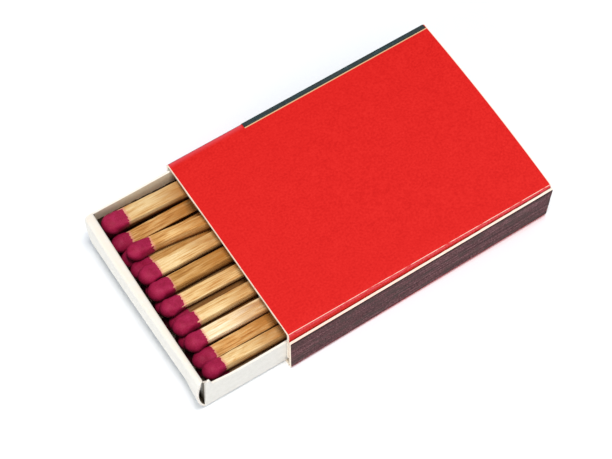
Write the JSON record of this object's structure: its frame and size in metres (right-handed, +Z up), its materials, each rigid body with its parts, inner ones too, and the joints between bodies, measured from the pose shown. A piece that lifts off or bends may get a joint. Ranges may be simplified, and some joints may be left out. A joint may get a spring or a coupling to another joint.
{
  "type": "matchbox",
  "caption": "Flat sliding matchbox: folded board sleeve with dark striking sides, and a folded tray of headed wooden matches drawn part of the way out.",
  "frame": {"origin": "centre of the sleeve's underside, where the box rests on a table", "axes": "+X along the box, away from the end where the tray is drawn out; -Y is the side with the glue lap and the full striking strip; +Z up out of the plain top"},
  "size_m": [0.0706, 0.0402, 0.0111],
  "materials": {
    "sleeve_board": "red printed board, slight sheen, pale at cut edges and worn folds",
    "striker": "matt dark purple-brown striking coat",
    "striker_dark": "matt dark slate striking coat",
    "tray_board": "matt off-white board",
    "match_head": "matt burgundy dip, slightly rough",
    "wood_pale": "raw split wood with fine grain along the stick",
    "wood_tan": "raw split wood with fine grain along the stick",
    "wood_brown": "raw split wood with fine grain along the stick",
    "wood_cream": "raw split wood with fine grain along the stick"
  },
  "bodies": {
    "sleeve": {"sleeve": "sleeve_board", "striker_near": "striker", "striker_far": "striker_dark"},
    "tray": {"tray": "tray_board", "match_stick_01": "wood_pale", "match_head_01": "match_head", "match_stick_02": "wood_tan", "match_head_02": "match_head", "match_stick_03": "wood_brown", "match_head_03": "match_head", "match_stick_04": "wood_brown", "match_head_04": "match_head", "match_stick_05": "wood_cream", "match_head_05": "match_head", "match_stick_06": "wood_tan", "match_head_06": "match_head", "match_stick_07": "wood_pale", "match_head_07": "match_head", "match_stick_08": "wood_pale", "match_head_08": "match_head", "match_stick_09": "wood_tan", "match_head_09": "match_head", "match_stick_10": "wood_brown", "match_head_10": "match_head", "match_stick_11": "wood_brown", "match_head_11": "match_head", "match_stick_12": "wood_cream", "match_head_12": "match_head", "match_stick_13": "wood_tan", "match_head_13": "match_head", "match_stick_14": "wood_pale", "match_head_14": "match_head", "match_stick_15": "wood_pale", "match_head_15": "match_head", "match_stick_16": "wood_tan", "match_head_16": "match_head", "match_stick_17": "wood_brown", "match_head_17": "match_head", "match_stick_18": "wood_brown", "match_head_18": "match_head", "match_stick_19": "wood_cream", "match_head_19": "match_head", "match_stick_20": "wood_tan", "match_head_20": "match_head", "match_stick_21": "wood_pale", "match_head_21": "match_head", "match_stick_22": "wood_pale", "match_head_22": "match_head", "match_stick_23": "wood_tan", "match_head_23": "match_head", "match_stick_24": "wood_brown", "match_head_24": "match_head", "match_stick_25": "wood_brown", "match_head_25": "match_head", "match_stick_26": "wood_cream", "match_head_26": "match_head", "match_stick_27": "wood_tan", "match_head_27": "match_head"}
  },
  "joints": [
    {"name": "tray_slide", "type": "slide", "parent": "sleeve", "child": "tray", "axis": [-1, 0, 0], "range_m": [-0.0617, 0.0283]}
  ]
}
